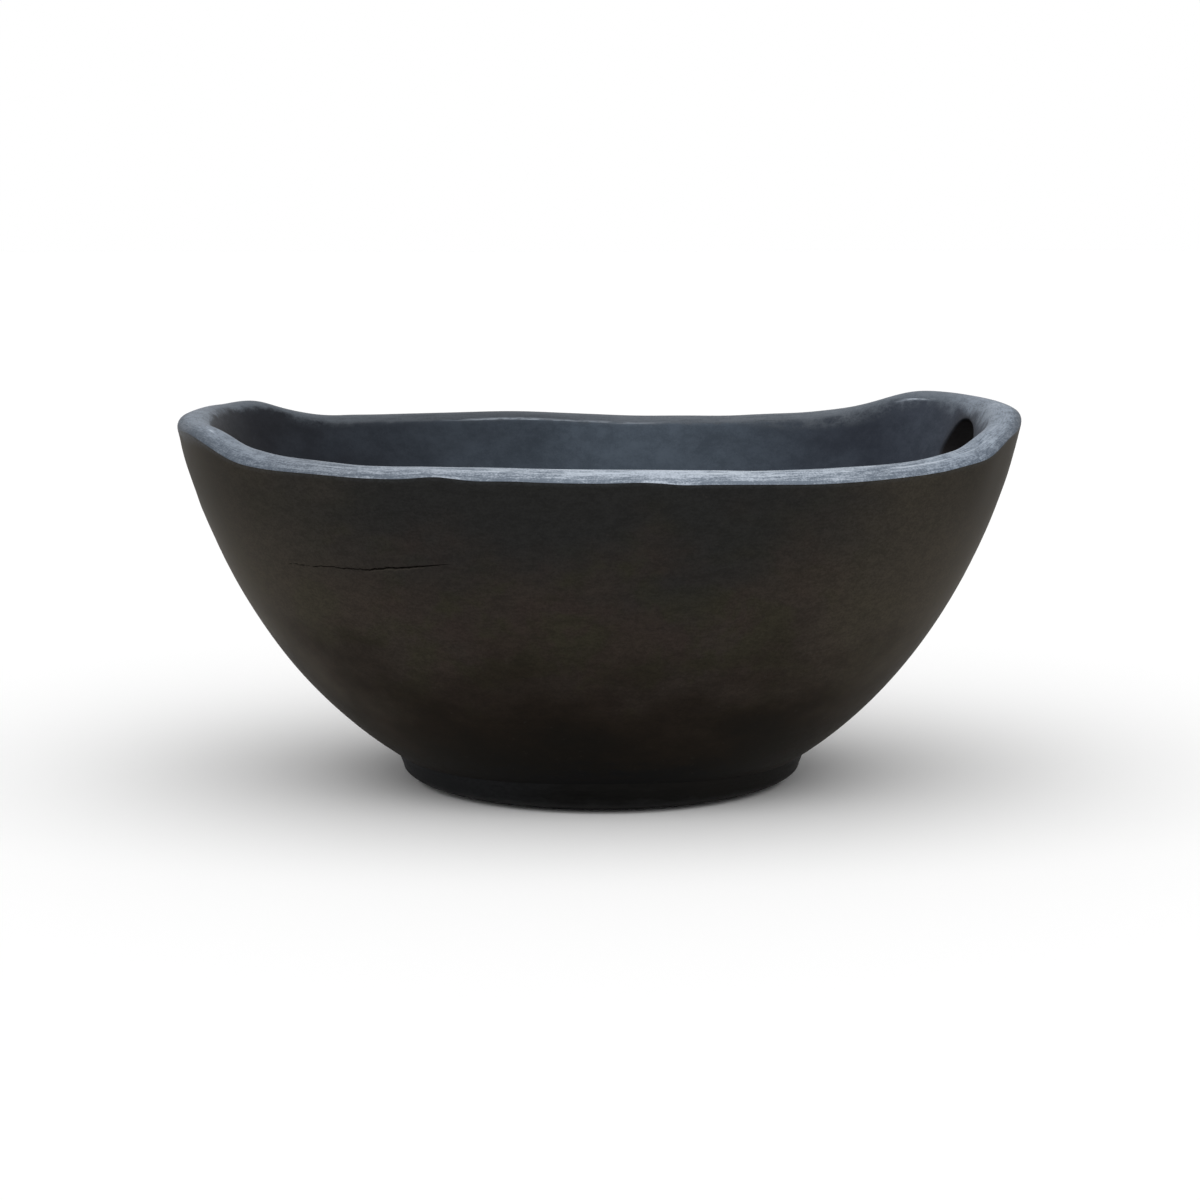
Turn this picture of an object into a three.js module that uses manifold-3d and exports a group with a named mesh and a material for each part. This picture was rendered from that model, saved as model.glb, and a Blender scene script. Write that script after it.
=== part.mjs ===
// A hand-carved oval wooden bowl. Its walls are thick, its rim sweeps up at both ends, and a finger slot
// goes through each raised end. It stands on a low round foot, which four hidden dowels hold to the bowl.
// Millimetres, +Z up, X along the bowl. The origin is on the table, under the middle of the rim.

import * as THREE from "three";
import { mergeVertices } from "three/addons/utils/BufferGeometryUtils.js";
import Module from "manifold-3d";

// The rim in plan, over its outer edge
const BOWL_LENGTH = 444;
const BOWL_WIDTH = 310;
const RIM_SQUARENESS = 2.6; // exponent of the oval: 2 is an ellipse, more is squarer

// The rim's outer edge: its height above the table at the right end, and how far it falls elsewhere
const RIM_HEIGHT = 193;
const LEFT_END_DROP = 3.5;
const LEFT_SIDE_DROP = 16.5;
const RIGHT_SIDE_DROP = 19;

// Where the rim climbs from its side height to its end height, in degrees round from the bowl's end
const FRONT_LEFT_CLIMB_START = 38;
const FRONT_LEFT_CLIMB_END = 17;
const FRONT_RIGHT_CLIMB_START = 41;
const FRONT_RIGHT_CLIMB_END = 2;
const BACK_LEFT_CLIMB_START = 40;
const BACK_LEFT_CLIMB_END = 18;
const BACK_RIGHT_CLIMB_START = 55;
const BACK_RIGHT_CLIMB_END = 19;

// The rim's section: rounded over, thickest along the sides, with its crown towards the inside
const SIDE_WALL = 22;
const END_WALL = 17;
const RIM_CROWN = 5.2;
const CROWN_SHARE = 0.61; // how far across the rim its crown lies
const INNER_EDGE_LIFT = 2;
const END_EDGE_LIFT = 2.4; // the rim is flatter across its ends

// The hollow
const FLOOR_THICKNESS = 22;
const FLOOR_DIAMETER = 144;

// The finger slots, oval and square to the leaning end walls
const SLOT_LENGTH = 92;
const SLOT_HEIGHT = 36;
const SLOT_BELOW_EDGE = 12.2; // from the rim's inner edge down to the slot
const SLOT_SQUARENESS = 3.3;
const SLOT_TILT = 15; // degrees, falling outwards
const SLOT_SLANT = 15.5; // degrees, one end of each slot above the other

// The foot
const FOOT_DIAMETER = 216;
const FOOT_HEIGHT = 12.5;
const FOOT_SHIFT = 1.7; // the foot was carved a little to the right of the rim's middle
const FOOT_LEDGE = 3; // how far the foot stands out past the bowl's wall
const FOOT_TAPER = 1.8; // how far the foot's wall leans in
const FOOT_EDGE_HEIGHT = 8;
const FOOT_EDGE_WIDTH = 21;
const STANDING_RING = 26; // width of the flat ring that touches the table
const FOOT_RECESS = 3; // depth of the hollow inside that ring
const RECESS_SLOPE = 4; // width of the slope down into that hollow
const GLUE_LINE = 0.2;

// The dowels between foot and bowl
const DOWEL_COUNT = 4;
const DOWEL_DIAMETER = 10;
const DOWEL_FIT = 0.3; // clearance round a dowel and at its ends
const DOWEL_CHAMFER = 1;
const WOOD_UNDER_DOWEL = 4.5;
const WOOD_OVER_DOWEL = 10;

// Lean of the walls, as the two handles of a curve from the foot or floor (0, 0) to the rim (1, 1)
const OUTER_LOW_HANDLE = new THREE.Vector2(0.61, 0.239);
const OUTER_HIGH_HANDLE = new THREE.Vector2(0.884, 0.679);
const INNER_LOW_HANDLE = new THREE.Vector2(0.58, 0.05);
const INNER_HIGH_HANDLE = new THREE.Vector2(0.75, 0.6);

// Fineness of the surfaces
const ROUND_STEPS = 108;
const OUTER_STEPS = 15;
const RIM_STEPS = 7;
const INNER_STEPS = 15;
const SLOT_STEPS = 36;
const EDGE_STEPS = 6;
const DOWEL_SIDES = 20;

const DARK_STAIN = { color: 0x2b2723, roughness: 0.62, metalness: 0 };
const FOOT_STAIN = { color: 0x201e1c, roughness: 0.7, metalness: 0 };
const BARE_WOOD = { color: 0xb08d5e, roughness: 0.8, metalness: 0 };

const footRadius = FOOT_DIAMETER / 2;
const baseRadius = footRadius - FOOT_LEDGE;
const baseHeight = FOOT_HEIGHT + GLUE_LINE;
const floorHeight = baseHeight + FLOOR_THICKNESS;
const standingRadius = footRadius - FOOT_TAPER - FOOT_EDGE_WIDTH;
const dowelCircle = standingRadius - STANDING_RING / 2;

const wasm = await Module();
wasm.setup();

const mix = THREE.MathUtils.lerp;
const smoothstep = THREE.MathUtils.smoothstep;

// How far out a wall has leaned, from 0 to 1, at a share of its height
function leanCurve(lowHandle, highHandle) {
  const curve = new THREE.CubicBezierCurve(
    new THREE.Vector2(0, 0),
    lowHandle,
    highHandle,
    new THREE.Vector2(1, 1),
  );
  return (share) => {
    if (share >= 1) {
      return 1 + ((share - 1) * (1 - highHandle.x)) / (1 - highHandle.y);
    }
    let low = 0;
    let high = 1;
    for (let halving = 0; halving < 40; halving += 1) {
      const middle = (low + high) / 2;
      if (curve.getPoint(middle).y < share) {
        low = middle;
      } else {
        high = middle;
      }
    }
    return curve.getPoint(low).x;
  };
}

const outerLean = leanCurve(OUTER_LOW_HANDLE, OUTER_HIGH_HANDLE);
const innerLean = leanCurve(INNER_LOW_HANDLE, INNER_HIGH_HANDLE);

// Distance from the middle of a squared oval to its edge, in a given direction
function ovalRadius(angle, halfLength, halfWidth, squareness) {
  const along = Math.abs(Math.cos(angle) / halfLength) ** squareness;
  const across = Math.abs(Math.sin(angle) / halfWidth) ** squareness;
  return (along + across) ** (-1 / squareness);
}

// A point of the outer wall at a height, or of the same oval drawn in by an inset
function outerPoint(angle, height, inset = 0) {
  const lean = outerLean((height - baseHeight) / (RIM_HEIGHT - baseHeight));
  const radius = ovalRadius(
    angle,
    mix(baseRadius, BOWL_LENGTH / 2, lean) - inset,
    mix(baseRadius, BOWL_WIDTH / 2, lean) - inset,
    mix(2, RIM_SQUARENESS, lean),
  );
  const middle = FOOT_SHIFT * (1 - lean);
  return new THREE.Vector3(middle + radius * Math.cos(angle), radius * Math.sin(angle), height);
}

// How much higher the rim's outer edge is towards the bowl's ends
function endLift(angle) {
  return END_EDGE_LIFT * Math.cos(angle) ** 8;
}

// Height of the rim's outer edge in a direction from the bowl's middle
function rimHeight(angle) {
  const along = Math.cos(angle);
  const across = Math.sin(angle);
  const sideDrop = mix(LEFT_SIDE_DROP, RIGHT_SIDE_DROP, smoothstep(along, -0.75, 0.75));
  const endDrop = along < 0 ? LEFT_END_DROP : 0;
  let climbStart = along < 0 ? FRONT_LEFT_CLIMB_START : FRONT_RIGHT_CLIMB_START;
  let climbEnd = along < 0 ? FRONT_LEFT_CLIMB_END : FRONT_RIGHT_CLIMB_END;
  if (across > 0) {
    climbStart = along < 0 ? BACK_LEFT_CLIMB_START : BACK_RIGHT_CLIMB_START;
    climbEnd = along < 0 ? BACK_LEFT_CLIMB_END : BACK_RIGHT_CLIMB_END;
  }
  const fromEnd = THREE.MathUtils.radToDeg(Math.atan2(Math.abs(across), Math.abs(along)));
  return RIM_HEIGHT + endLift(angle) - mix(endDrop, sideDrop, smoothstep(fromEnd, climbEnd, climbStart));
}

function rimWall(angle) {
  return mix(SIDE_WALL, END_WALL, Math.cos(angle) ** 2);
}

// A point of the rim's rounded top, from its outer edge at 0 to its inner edge at 1
function rimPoint(angle, share) {
  const point = outerPoint(angle, rimHeight(angle), rimWall(angle) * share);
  const crown = RIM_CROWN - endLift(angle);
  if (share < CROWN_SHARE) {
    point.z += crown * (1 - (1 - share / CROWN_SHARE) ** 2);
  } else {
    const fall = ((share - CROWN_SHARE) / (1 - CROWN_SHARE)) ** 2;
    point.z += mix(crown, INNER_EDGE_LIFT - endLift(angle), fall);
  }
  return point;
}

// A point of the hollow, at a share of the way up from its floor to the rim's inner edge
function innerPoint(angle, share) {
  const edge = rimPoint(angle, 1);
  const floorRim = new THREE.Vector3(
    FOOT_SHIFT + (FLOOR_DIAMETER / 2) * Math.cos(angle),
    (FLOOR_DIAMETER / 2) * Math.sin(angle),
    floorHeight,
  );
  const lean = innerLean(share);
  return new THREE.Vector3(
    mix(floorRim.x, edge.x, lean),
    mix(floorRim.y, edge.y, lean),
    mix(floorRim.z, edge.z, share),
  );
}

// The bowl's half section in one direction: up the outside, over the rim and down the inside
function halfSection(angle) {
  const points = [];
  const edge = rimHeight(angle);
  for (let step = 0; step <= OUTER_STEPS; step += 1) {
    points.push(outerPoint(angle, mix(baseHeight, edge, (step / OUTER_STEPS) ** 1.3)));
  }
  for (let step = 1; step < RIM_STEPS; step += 1) {
    points.push(rimPoint(angle, step / RIM_STEPS));
  }
  for (let step = 0; step <= INNER_STEPS; step += 1) {
    points.push(innerPoint(angle, (1 - step / INNER_STEPS) ** 1.4));
  }
  return points;
}

// Joins half sections all round into one closed surface, with a flat base and a flat floor
function closedLoft(sections, baseMiddle, floorMiddle) {
  const rows = sections[0].length;
  const vertices = [...sections.flat(), baseMiddle, floorMiddle];
  const baseIndex = vertices.length - 2;
  const floorIndex = vertices.length - 1;
  const triangles = [];
  for (let turn = 0; turn < sections.length; turn += 1) {
    const here = turn * rows;
    const next = ((turn + 1) % sections.length) * rows;
    triangles.push(baseIndex, next, here);
    for (let row = 0; row < rows - 1; row += 1) {
      triangles.push(here + row, next + row, next + row + 1);
      triangles.push(here + row, next + row + 1, here + row + 1);
    }
    triangles.push(here + rows - 1, next + rows - 1, floorIndex);
  }
  const geometry = new THREE.BufferGeometry().setFromPoints(vertices);
  geometry.setIndex(triangles);
  return geometry;
}

function toSolid(geometry) {
  const bare = geometry.clone();
  bare.deleteAttribute("normal");
  bare.deleteAttribute("uv");
  const merged = mergeVertices(bare, 1e-4);
  const mesh = new wasm.Mesh({
    numProp: 3,
    vertProperties: new Float32Array(merged.attributes.position.array),
    triVerts: new Uint32Array(merged.index.array),
  });
  return new wasm.Manifold(mesh);
}

function toGeometry(solid) {
  const mesh = solid.getMesh();
  const geometry = new THREE.BufferGeometry();
  geometry.setAttribute("position", new THREE.BufferAttribute(mesh.vertProperties, 3));
  geometry.setIndex(new THREE.BufferAttribute(mesh.triVerts, 1));
  geometry.computeVertexNormals();
  return geometry;
}

// A solid of revolution about the upright axis, from points of radius and height
function turned(profile, sides) {
  const geometry = new THREE.LatheGeometry(profile, sides);
  geometry.rotateX(Math.PI / 2);
  return geometry;
}

// The wood taken out for one finger slot: an oval run along the tilted axis, through the end wall
function slotCutter(angle) {
  const innerEdge = rimPoint(angle, 1);
  const middleHeight = innerEdge.z - SLOT_BELOW_EDGE - SLOT_HEIGHT / 2;
  const mouth = innerPoint(angle, (middleHeight - floorHeight) / (innerEdge.z - floorHeight));
  const outline = [];
  for (let step = 0; step < SLOT_STEPS; step += 1) {
    const turn = (2 * Math.PI * step) / SLOT_STEPS;
    const radius = ovalRadius(turn, SLOT_LENGTH / 2, SLOT_HEIGHT / 2, SLOT_SQUARENESS);
    outline.push(new THREE.Vector2(radius * Math.cos(turn), radius * Math.sin(turn)));
  }
  const reach = 3 * SIDE_WALL;
  const geometry = new THREE.ExtrudeGeometry(new THREE.Shape(outline), {
    depth: 2 * reach,
    bevelEnabled: false,
  });
  geometry.translate(0, 0, -reach);
  geometry.rotateZ(THREE.MathUtils.degToRad(SLOT_SLANT));
  const place = new THREE.Matrix4().makeBasis(
    new THREE.Vector3(0, 1, 0),
    new THREE.Vector3(0, 0, 1),
    new THREE.Vector3(1, 0, 0),
  );
  place.premultiply(new THREE.Matrix4().makeRotationY(THREE.MathUtils.degToRad(SLOT_TILT)));
  place.premultiply(new THREE.Matrix4().makeRotationZ(angle));
  place.premultiply(new THREE.Matrix4().makeTranslation(mouth.x, 0, middleHeight));
  geometry.applyMatrix4(place);
  return geometry;
}

function dowelPlaces() {
  const places = [];
  for (let number = 0; number < DOWEL_COUNT; number += 1) {
    const turn = (2 * Math.PI * (number + 0.5)) / DOWEL_COUNT;
    places.push(new THREE.Vector2(FOOT_SHIFT + dowelCircle * Math.cos(turn), dowelCircle * Math.sin(turn)));
  }
  return places;
}

const dowelFoot = WOOD_UNDER_DOWEL + DOWEL_FIT;
const dowelHead = floorHeight - WOOD_OVER_DOWEL - DOWEL_FIT;

// The drilled hole for one dowel, reaching past both of its ends
function dowelHole(place) {
  const length = dowelHead - dowelFoot + 2 * DOWEL_FIT;
  const radius = DOWEL_DIAMETER / 2 + DOWEL_FIT;
  const geometry = new THREE.CylinderGeometry(radius, radius, length, DOWEL_SIDES);
  geometry.rotateX(Math.PI / 2);
  geometry.translate(place.x, place.y, (dowelHead + dowelFoot) / 2);
  return geometry;
}

function withoutHoles(solid) {
  return dowelPlaces().reduce((wood, place) => wood.subtract(toSolid(dowelHole(place))), solid);
}

function bowlBody() {
  const sections = [];
  for (let turn = 0; turn < ROUND_STEPS; turn += 1) {
    sections.push(halfSection((2 * Math.PI * turn) / ROUND_STEPS));
  }
  const baseMiddle = new THREE.Vector3(FOOT_SHIFT, 0, baseHeight);
  const floorMiddle = new THREE.Vector3(FOOT_SHIFT, 0, floorHeight);
  const carved = toSolid(closedLoft(sections, baseMiddle, floorMiddle));
  const slotted = [0, Math.PI].reduce((wood, angle) => wood.subtract(toSolid(slotCutter(angle))), carved);
  return toGeometry(withoutHoles(slotted));
}

// A round slab with a broadly rounded lower edge, hollowed a little so that it stands on a ring
function foot() {
  const edgeHeight = Math.min(FOOT_EDGE_HEIGHT, 0.8 * FOOT_HEIGHT);
  const recessRadius = standingRadius - STANDING_RING;
  const profile = [
    new THREE.Vector2(0, FOOT_RECESS),
    new THREE.Vector2(recessRadius - RECESS_SLOPE, FOOT_RECESS),
    new THREE.Vector2(recessRadius, 0),
  ];
  for (let step = 0; step <= EDGE_STEPS; step += 1) {
    const turn = (Math.PI / 2) * (step / EDGE_STEPS);
    const radius = standingRadius + FOOT_EDGE_WIDTH * Math.sin(turn);
    profile.push(new THREE.Vector2(radius, edgeHeight * (1 - Math.cos(turn))));
  }
  profile.push(new THREE.Vector2(footRadius, FOOT_HEIGHT));
  profile.push(new THREE.Vector2(0, FOOT_HEIGHT));
  const slab = turned(profile, ROUND_STEPS);
  slab.translate(FOOT_SHIFT, 0, 0);
  return toGeometry(withoutHoles(toSolid(slab)));
}

function dowel() {
  const radius = DOWEL_DIAMETER / 2;
  const profile = [
    new THREE.Vector2(0, dowelFoot),
    new THREE.Vector2(radius - DOWEL_CHAMFER, dowelFoot),
    new THREE.Vector2(radius, dowelFoot + DOWEL_CHAMFER),
    new THREE.Vector2(radius, dowelHead - DOWEL_CHAMFER),
    new THREE.Vector2(radius - DOWEL_CHAMFER, dowelHead),
    new THREE.Vector2(0, dowelHead),
  ];
  return turned(profile, DOWEL_SIDES);
}

function namedMesh(name, geometry, finish) {
  const mesh = new THREE.Mesh(geometry, new THREE.MeshStandardMaterial(finish));
  mesh.name = name;
  return mesh;
}

const bowl = new THREE.Group();
bowl.add(namedMesh("bowl_body", bowlBody(), DARK_STAIN));
bowl.add(namedMesh("foot", foot(), FOOT_STAIN));
dowelPlaces().forEach((place, index) => {
  const peg = namedMesh(`foot_dowel_${index + 1}`, dowel(), BARE_WOOD);
  peg.position.set(place.x, place.y, 0);
  bowl.add(peg);
});

export default bowl;
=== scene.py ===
# A large hand-carved wooden bowl on its low foot, standing on a pale floor in soft studio light
import math

import bpy
import numpy as np
from mathutils import Matrix, Vector


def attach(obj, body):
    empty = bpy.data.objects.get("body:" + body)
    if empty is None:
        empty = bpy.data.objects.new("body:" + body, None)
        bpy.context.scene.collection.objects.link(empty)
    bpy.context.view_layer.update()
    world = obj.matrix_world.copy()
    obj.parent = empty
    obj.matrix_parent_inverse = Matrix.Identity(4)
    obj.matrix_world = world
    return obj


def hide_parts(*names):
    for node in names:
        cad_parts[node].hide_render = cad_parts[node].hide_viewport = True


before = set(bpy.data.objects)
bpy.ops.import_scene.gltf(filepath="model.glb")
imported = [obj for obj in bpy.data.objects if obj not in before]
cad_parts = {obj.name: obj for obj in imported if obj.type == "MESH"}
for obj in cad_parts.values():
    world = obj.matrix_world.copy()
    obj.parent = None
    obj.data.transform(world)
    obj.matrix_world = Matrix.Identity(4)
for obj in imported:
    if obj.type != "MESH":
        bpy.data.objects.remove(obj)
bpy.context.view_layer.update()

MM = 0.001

# Sizes of the bowl in millimetres, as in the part
HALF_LENGTH = 222.0
HALF_WIDTH = 155.0
RIM_SQUARENESS = 2.6
RIM_HEIGHT = 193.0
LEFT_END_DROP = 3.5
LEFT_SIDE_DROP = 16.5
RIGHT_SIDE_DROP = 19.0
SIDE_WALL = 22.0
END_WALL = 17.0
RIM_CROWN = 5.2
CROWN_SHARE = 0.61
INNER_EDGE_LIFT = 2.0
END_EDGE_LIFT = 2.4
BASE_RADIUS = 105.0
BASE_HEIGHT = 12.7
SHIFT = 1.7
FLOOR_RADIUS = 72.0
FLOOR_HEIGHT = 34.7
SLOT_HALF_LENGTH = 46.0
SLOT_HALF_HEIGHT = 18.0
SLOT_SQUARENESS = 3.3
SLOT_BELOW_EDGE = 12.2
SLOT_TILT = math.radians(15)
SLOT_SLANT = math.radians(15.5)
# Half the plan angle and the number of rows of the cells round a slot
SLOT_BLOCK_ANGLE = 15.0
SLOT_BLOCK_ROWS = 46
FOOT_RADIUS = 108.0
STANDING_RADIUS = 85.2
FOOT_EDGE_WIDTH = 21.0
FOOT_EDGE_HEIGHT = 8.0
RECESS_RADIUS = 59.2
FOOT_RECESS = 3.0
# The foot reaches up inside the bowl, so that the two meet in a plain corner
FOOT_TOP = 18.5

# How far the worn arrises are eased: the outer one is rubbed rounder at the two ends
ARRIS = 0.8
LEFT_ARRIS = 3.6
RIGHT_ARRIS = 2.8
INNER_ARRIS_SHARE = 0.015
SLOT_ROUND_OUT = 1.6
SLOT_ROUND_IN = 1.2

# The drying crack on the front, left of the middle: plan angle in degrees and height in millimetres
CRACK_PATH = [(214.0, 130.2), (217.0, 129.8), (220.3, 130.1), (223.6, 130.2), (225.2, 130.0),
              (227.4, 129.6), (228.6, 130.3), (231.9, 131.3), (236.1, 132.4), (240.3, 133.8),
              (242.4, 134.4)]
CRACK_DEPTH = 1.5
# How far above and below the crack the rows of cells bend to follow it
CRACK_REACH = 24.0


def mix(a, b, share):
    return a + (b - a) * share


def smooth(value, start, end):
    share = np.clip((value - start) / (end - start), 0.0, 1.0)
    return share * share * (3.0 - 2.0 * share)


def bump(value, middle, width):
    return np.exp(-(((value - middle) / width) ** 2))


# How far the wall has leant out at a share of its height, from a cubic curve with two handles
def leaning(low, high):
    t = np.linspace(0.0, 1.0, 4001)
    out = 3 * (1 - t) ** 2 * t * low[0] + 3 * (1 - t) * t ** 2 * high[0] + t ** 3
    up = 3 * (1 - t) ** 2 * t * low[1] + 3 * (1 - t) * t ** 2 * high[1] + t ** 3
    slope = (1 - high[0]) / (1 - high[1])

    def lean(share):
        return np.interp(share, up, out) + np.maximum(share - 1.0, 0.0) * slope
    return lean


outer_lean = leaning((0.61, 0.239), (0.884, 0.679))
inner_lean = leaning((0.58, 0.05), (0.75, 0.6))


def oval_radius(cos, sin, a, b, n):
    return ((np.abs(cos) / a) ** n + (np.abs(sin) / b) ** n) ** (-1.0 / n)


# Point of the outer wall at a plan angle and height, or moved in from it by an inset
def outer_point(angle, height, inset=0.0):
    lean = outer_lean((height - BASE_HEIGHT) / (RIM_HEIGHT - BASE_HEIGHT))
    radius = oval_radius(np.cos(angle), np.sin(angle), mix(BASE_RADIUS, HALF_LENGTH, lean) - inset,
                         mix(BASE_RADIUS, HALF_WIDTH, lean) - inset, mix(2.0, RIM_SQUARENESS, lean))
    x = SHIFT * (1.0 - lean) + radius * np.cos(angle)
    y = radius * np.sin(angle)
    return np.stack(np.broadcast_arrays(x, y, height), -1)


def end_lift(angle):
    return END_EDGE_LIFT * np.cos(angle) ** 8


# Height of the rim's outer edge, low along the sides and high at the ends
def rim_height(angle):
    cos, sin = np.cos(angle), np.sin(angle)
    from_end = np.degrees(np.arctan2(np.abs(sin), np.abs(cos)))
    back, left = sin > 0, cos < 0
    start = np.where(back, np.where(left, 40.0, 55.0), np.where(left, 38.0, 41.0))
    end = np.where(back, np.where(left, 18.0, 19.0), np.where(left, 17.0, 2.0))
    side_drop = mix(LEFT_SIDE_DROP, RIGHT_SIDE_DROP, smooth(cos, -0.75, 0.75))
    end_drop = np.where(left, LEFT_END_DROP, 0.0)
    return RIM_HEIGHT + end_lift(angle) - mix(end_drop, side_drop, smooth(from_end, end, start))


# Point across the crowned rim, from its outer edge at share 0 to its inner edge at share 1
def rim_point(angle, share):
    wall = mix(SIDE_WALL, END_WALL, np.cos(angle) ** 2)
    point = outer_point(angle, rim_height(angle), wall * share)
    crown = RIM_CROWN - end_lift(angle)
    rise = crown * (1 - (1 - share / CROWN_SHARE) ** 2)
    beyond_crown = (share - CROWN_SHARE) / (1 - CROWN_SHARE)
    fall = mix(crown, INNER_EDGE_LIFT - end_lift(angle), beyond_crown ** 2)
    point[..., 2] += np.where(share < CROWN_SHARE, rise, fall)
    return point


# Point of the hollow, from its floor at share 0 to the rim's inner edge at share 1
def inner_point(angle, share):
    edge = rim_point(angle, np.ones_like(share))
    lean = inner_lean(share)
    x = SHIFT + FLOOR_RADIUS * np.cos(angle)
    y = FLOOR_RADIUS * np.sin(angle)
    ring = np.stack(np.broadcast_arrays(x, y, FLOOR_HEIGHT), -1)
    point = mix(ring, edge, lean[..., None])
    point[..., 2] = mix(FLOOR_HEIGHT, edge[..., 2], share)
    return point


# How far a point lies outside the outer wall, in plan
def outside_outer(point):
    lean = outer_lean((point[..., 2] - BASE_HEIGHT) / (RIM_HEIGHT - BASE_HEIGHT))
    x = point[..., 0] - SHIFT * (1.0 - lean)
    angle = np.arctan2(point[..., 1], x)
    radius = oval_radius(np.cos(angle), np.sin(angle), mix(BASE_RADIUS, HALF_LENGTH, lean),
                         mix(BASE_RADIUS, HALF_WIDTH, lean), mix(2.0, RIM_SQUARENESS, lean))
    return np.hypot(x, point[..., 1]) - radius


# How far a point lies outside the hollow, in plan
def outside_inner(point):
    middle = np.zeros_like(point[..., 0])
    for step in range(4):
        angle = np.arctan2(point[..., 1], point[..., 0] - middle)
        edge = rim_point(angle, np.ones_like(angle))
        lean = inner_lean((point[..., 2] - FLOOR_HEIGHT) / (edge[..., 2] - FLOOR_HEIGHT))
        edge_lean = outer_lean((rim_height(angle) - BASE_HEIGHT) / (RIM_HEIGHT - BASE_HEIGHT))
        edge_middle = SHIFT * (1.0 - edge_lean)
        middle = mix(SHIFT, edge_middle, lean)
    edge_radius = np.hypot(edge[..., 0] - edge_middle, edge[..., 1])
    return np.hypot(point[..., 0] - middle, point[..., 1]) - mix(FLOOR_RADIUS, edge_radius, lean)


# Quadratic easing over a corner, for the rows across an arris
def eased(before, corner, after, count):
    rows = []
    for t in np.linspace(0.0, 1.0, count + 2)[1:-1]:
        rows.append((1 - t) ** 2 * before + 2 * (1 - t) * t * corner + t ** 2 * after)
    return np.concatenate(rows, 0)


# Smooth wandering value at points in millimetres, from a few long waves in mixed directions
def wander(point, wave, seed):
    source = np.random.default_rng(seed)
    total = np.zeros(point.shape[:-1])
    for number in range(9):
        way = source.normal(size=3)
        way /= np.linalg.norm(way)
        length = wave * source.uniform(0.7, 1.5)
        total += np.sin(point @ way * (2 * math.pi / length) + source.uniform(0, 2 * math.pi))
    return total / 3.0


# Jagged line of the torn fibres along the crack, from waves of shrinking length
def torn(angle, seed):
    source = np.random.default_rng(seed)
    total = np.zeros_like(angle)
    for length, size in ((5.0, 0.30), (2.3, 0.22), (1.1, 0.15), (0.6, 0.10)):
        total += size * np.sin(2 * math.pi * angle / length + source.uniform(0, 2 * math.pi))
    return total


def crack_line(degrees):
    angles, heights = zip(*CRACK_PATH)
    line = np.interp(degrees, angles, heights)
    return line + 0.75 * torn(degrees, 4) * smooth(degrees, 240.0, 228.0)


# Half the width of the crack: broken and thin at the left, open at its middle, running out at the right
def crack_width(degrees):
    broken = 0.5 + 0.5 * np.sin(degrees * 3.9 + 0.6) * np.sin(degrees * 1.7)
    thin = mix(0.30 * broken, 0.20, smooth(degrees, 218.0, 224.0)) * smooth(degrees, 213.6, 215.0)
    thick = 0.42 * smooth(degrees, 226.0, 230.0) * smooth(degrees, 241.5, 234.0)
    jag = 0.16 * bump(degrees, 224.6, 0.9) + 0.12 * bump(degrees, 221.2, 0.7)
    return (thin + thick + jag) * smooth(degrees, 243.4, 239.3) * (1.0 + 0.2 * np.sin(degrees * 5.3))


# Where the soft inner edge of the rim is rubbed bright: plan angle, width in degrees and strength
WORN_PLACES = [(111.0, 9.0, 1.0), (95.0, 11.0, 0.45), (80.0, 8.0, 0.3), (25.5, 2.6, 1.3)]


def worn_line(degrees):
    total = np.zeros_like(degrees)
    for middle, width, strength in WORN_PLACES:
        total += strength * bump(degrees, middle, width)
    return total


# How pale the rim is painted round the bowl, as painted light, lit pale along the front and in painted shade
# along the back: plan angle and painted light
RIM_PAINTED_LIGHT = [(-90, 1.0), (-70, 1.0), (-50, 0.92), (-30, 0.68), (-15, 0.53), (0, 0.52), (10, 0.46),
            (20, 0.24), (28, 0.22), (40, 0.19), (50, 0.13), (70, 0.13), (90, 0.095), (112, 0.015),
            (142, 0.075), (165, 0.18), (180, 0.33), (200, 0.43), (220, 0.55), (240, 0.83), (270, 1.0)]


def rim_painted_light(degrees):
    places, painted_light = zip(*RIM_PAINTED_LIGHT)
    return np.interp(degrees, places, painted_light)


# Where the rim's tone gives way to that of the hollow: plan angle and share of the rim's width
HOLLOW_START = [(-90, 1.0), (-10, 1.03), (0, 1.13), (10, 1.12), (20, 1.02), (30, 1.08), (45, 1.06),
                (60, 1.01), (120, 1.01), (140, 1.01), (150, 1.03), (160, 0.97), (170, 0.92), (180, 0.98),
                (188, 1.05), (200, 1.0), (270, 1.0)]


def hollow_start(degrees):
    places, share = zip(*HOLLOW_START)
    return np.interp(degrees, places, share)


# How softly it gives way there, more so towards the two ends
def hollow_blur(degrees):
    left = 0.05 * bump(degrees, 155.0, 16.0) + 0.09 * bump(degrees, 172.0, 9.0)
    right = 0.07 * bump(degrees, 6.0, 11.0) + 0.06 * bump(degrees, 34.0, 13.0)
    return 0.065 + left + right


# Pale nicks and rubbed spots on the rim: plan angle, share of its width, sizes along and across, strength
NICKS = [(201.0, 0.48, 0.8, 0.04, 0.9), (198.6, 0.52, 0.5, 0.04, 0.5), (213.0, 0.52, 0.4, 0.04, 0.6),
         (-1.0, 0.62, 3.0, 0.20, 0.22), (-21.0, 0.36, 2.5, 0.20, 0.25)]


# Plan angles of the grid's columns, closer together at the crack
degrees = np.concatenate([np.linspace(-90.0, 213.0, 506)[:-1], np.linspace(213.0, 243.0, 151)[:-1],
                          np.linspace(243.0, 270.0, 46)[:-1]])
theta = np.radians(degrees)[None, :]
columns = degrees.size

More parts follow.
